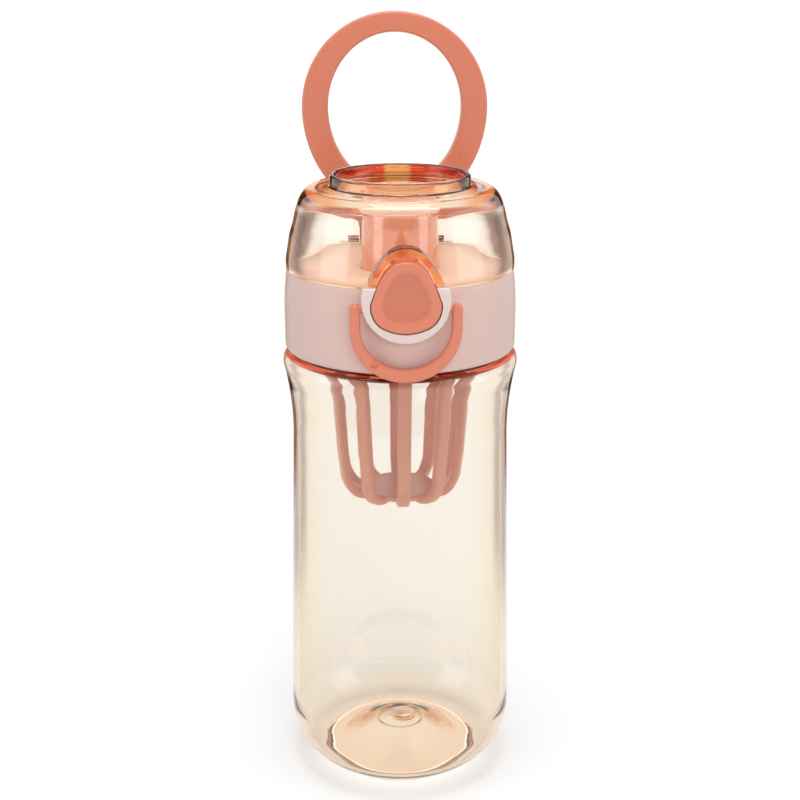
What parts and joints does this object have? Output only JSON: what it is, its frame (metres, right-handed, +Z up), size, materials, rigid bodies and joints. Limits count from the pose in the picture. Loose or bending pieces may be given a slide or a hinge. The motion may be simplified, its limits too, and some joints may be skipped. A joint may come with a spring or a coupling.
{
  "type": "fruit infuser water bottle",
  "caption": "Clear amber infuser water bottle: ribbed basket in the neck, screw cap with a spout, push-button flip lid, lock bail and carry loop.",
  "frame": {"origin": "centre of the bottle's foot ring, on the surface that it stands on", "axes": "+Z up along the bottle's axis, -Y towards the release button at the front, +X to the right seen from the front"},
  "size_m": [0.0752, 0.0855, 0.2478],
  "materials": {
    "amber_clear": "clear amber copolyester, polished",
    "amber_ring": "clear red-orange copolyester, polished",
    "salmon": "moulded polypropylene, soft gloss",
    "collar_pink": "moulded polypropylene, satin",
    "seal": "silicone rubber, matte",
    "steel": "drawn stainless wire"
  },
  "bodies": {
    "bottle": {"bottle_body": "amber_clear"},
    "infuser": {"infuser_basket": "salmon"},
    "seal_ring": {"cap_gasket": "seal"},
    "cap": {"cap_shell": "collar_pink", "cap_liner": "salmon", "spout": "salmon", "spout_gasket": "seal", "vent_valve": "seal", "button_bezel": "collar_pink", "hinge_pin": "steel", "hinge_spring": "steel", "button_spring": "steel", "bail_pin_left": "steel", "bail_pin_right": "steel"},
    "lid": {"lid_dome": "amber_clear", "lid_ring": "amber_ring", "lid_seal": "seal", "latch_strike": "amber_clear"},
    "button": {"release_button": "salmon", "latch_slide": "salmon"},
    "bail": {"lock_bail": "salmon"},
    "loop": {"carry_loop": "salmon"}
  },
  "joints": [
    {"name": "infuser_lift", "type": "slide", "parent": "bottle", "child": "infuser", "axis": [0, 0, 1], "range_m": [0, 0.075]},
    {"name": "cap_rise", "type": "slide", "parent": "infuser", "child": "seal_ring", "axis": [0, 0, 1], "range_m": [0, 0.0045]},
    {"name": "cap_turn", "type": "hinge", "parent": "seal_ring", "child": "cap", "pos_m": [0, 0, 0.155], "axis": [0, 0, 1], "range_deg": [0, 540]},
    {"name": "lid_hinge", "type": "hinge", "parent": "cap", "child": "lid", "pos_m": [0, 0.0402, 0.168], "axis": [-1, 0, 0], "range_deg": [0, 110]},
    {"name": "loop_swing", "type": "hinge", "parent": "lid", "child": "loop", "pos_m": [0, 0.0402, 0.168], "axis": [-1, 0, 0], "range_deg": [0, 60]},
    {"name": "button_press", "type": "slide", "parent": "cap", "child": "button", "axis": [0, 1, 0], "range_m": [0, 0.0016], "stiffness_N_per_m": 400, "springref_m": -0.001, "deforming": ["button_spring"]},
    {"name": "bail_swing", "type": "hinge", "parent": "cap", "child": "bail", "pos_m": [0, -0.0388, 0.1669], "axis": [-1, 0, 0], "range_deg": [0, 180]}
  ],
  "couplings": [
    {"joint": "cap_turn", "follows": "cap_rise", "rad_per_m": 2094.4}
  ]
}
